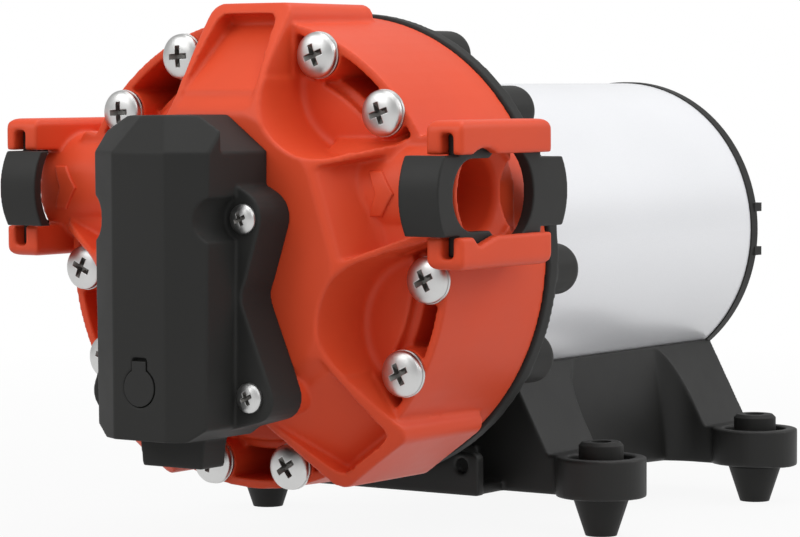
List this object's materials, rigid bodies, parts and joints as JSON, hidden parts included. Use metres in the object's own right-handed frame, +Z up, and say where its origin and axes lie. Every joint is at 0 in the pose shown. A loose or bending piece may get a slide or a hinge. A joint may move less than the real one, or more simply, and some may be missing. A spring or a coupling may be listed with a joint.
{
  "type": "water pump",
  "caption": "Diaphragm water pump with side ports and sliding clips, pressure switch, electric motor and a footed base, for caravans.",
  "frame": {"origin": "floor level, middle of the four mounting holes in the rubber feet", "axes": "+Z up; +Y along the motor axis from the pump head to the motor; +X towards the outlet port"},
  "size_m": [0.125, 0.2059, 0.122],
  "materials": {
    "red_plastic": "satin moulded red-orange plastic",
    "black_plastic": "matt moulded black plastic",
    "clip_plastic": "smooth dark plastic",
    "base_plastic": "matt moulded black plastic",
    "foot_rubber": "soft black rubber",
    "seal_rubber": "smooth black rubber",
    "motor_paint": "satin silver-white paint on a steel can",
    "screw_steel": "bright plated steel",
    "bearing_steel": "ground bearing steel",
    "cast_metal": "machined aluminium",
    "brass": "turned brass",
    "valve_plastic": "natural moulded plastic",
    "core_steel": "stacked lamination steel",
    "copper": "enamelled copper wire",
    "magnet_ferrite": "ground ferrite",
    "carbon": "pressed carbon",
    "phenolic": "brown insulating board"
  },
  "bodies": {
    "pump": {"front_cover": "red_plastic", "cover_screws": "screw_steel", "cover_washers": "screw_steel", "switch_housing": "black_plastic", "switch_screws": "screw_steel", "switch_spring": "bearing_steel", "switch_diaphragm": "seal_rubber", "micro_switch": "phenolic", "cable_grommet": "seal_rubber", "valve_plate": "valve_plastic", "inlet_valves": "seal_rubber", "outlet_valve": "seal_rubber", "valve_seal": "seal_rubber", "cover_seal": "seal_rubber", "diaphragm": "seal_rubber", "drive_housing": "black_plastic", "front_bearing": "bearing_steel", "rear_bearing": "bearing_steel", "motor_can": "motor_paint", "magnets": "magnet_ferrite", "brush_holder": "phenolic", "brushes": "carbon", "brush_springs": "bearing_steel", "end_cap": "black_plastic", "motor_bolts": "screw_steel", "lead_grommet": "seal_rubber", "base": "base_plastic", "rubber_feet": "foot_rubber", "base_screws": "screw_steel"},
    "rotor": {"motor_shaft": "bearing_steel", "rotor_core": "core_steel", "rotor_windings": "copper", "commutator": "copper", "eccentric_cam": "bearing_steel", "wobble_bearing_inner": "bearing_steel"},
    "wobble": {"wobble_plate": "cast_metal", "wobble_bearing_outer": "bearing_steel", "pistons": "valve_plastic", "piston_screws": "screw_steel"},
    "inlet_clip": {"inlet_clip": "clip_plastic"},
    "outlet_clip": {"outlet_clip": "clip_plastic"},
    "adjuster_cap": {"adjuster_cap": "seal_rubber"},
    "adjuster_screw": {"adjuster_screw": "brass"},
    "switch_plunger": {"switch_plunger": "valve_plastic"}
  },
  "joints": [
    {"name": "shaft_spin", "type": "hinge", "parent": "pump", "child": "rotor", "pos_m": [0, -0.0058, 0.0667], "axis": [0, 1, 0], "continuous": true},
    {"name": "wobble_turn", "type": "hinge", "parent": "rotor", "child": "wobble", "pos_m": [0, -0.0705, 0.0667], "axis": [0, 0.9976, 0.0698], "continuous": true, "deforming": ["diaphragm"]},
    {"name": "inlet_clip_slide", "type": "slide", "parent": "pump", "child": "inlet_clip", "axis": [0, 1, 0], "range_m": [0, 0.0072]},
    {"name": "outlet_clip_slide", "type": "slide", "parent": "pump", "child": "outlet_clip", "axis": [0, 1, 0], "range_m": [0, 0.0072]},
    {"name": "cap_pull", "type": "slide", "parent": "pump", "child": "adjuster_cap", "axis": [0, -1, 0], "range_m": [0, 0.006]},
    {"name": "adjuster_turn", "type": "hinge", "parent": "pump", "child": "adjuster_screw", "pos_m": [0, -0.1358, 0.0403], "axis": [0, 1, 0], "range_deg": [-360, 360]},
    {"name": "plunger_slide", "type": "slide", "parent": "pump", "child": "switch_plunger", "axis": [0, -1, 0], "range_m": [0, 0.0015], "stiffness_N_per_m": 1500, "deforming": ["switch_spring", "switch_diaphragm"]}
  ],
  "couplings": [
    {"joint": "wobble_turn", "follows": "shaft_spin", "ratio": -1}
  ]
}
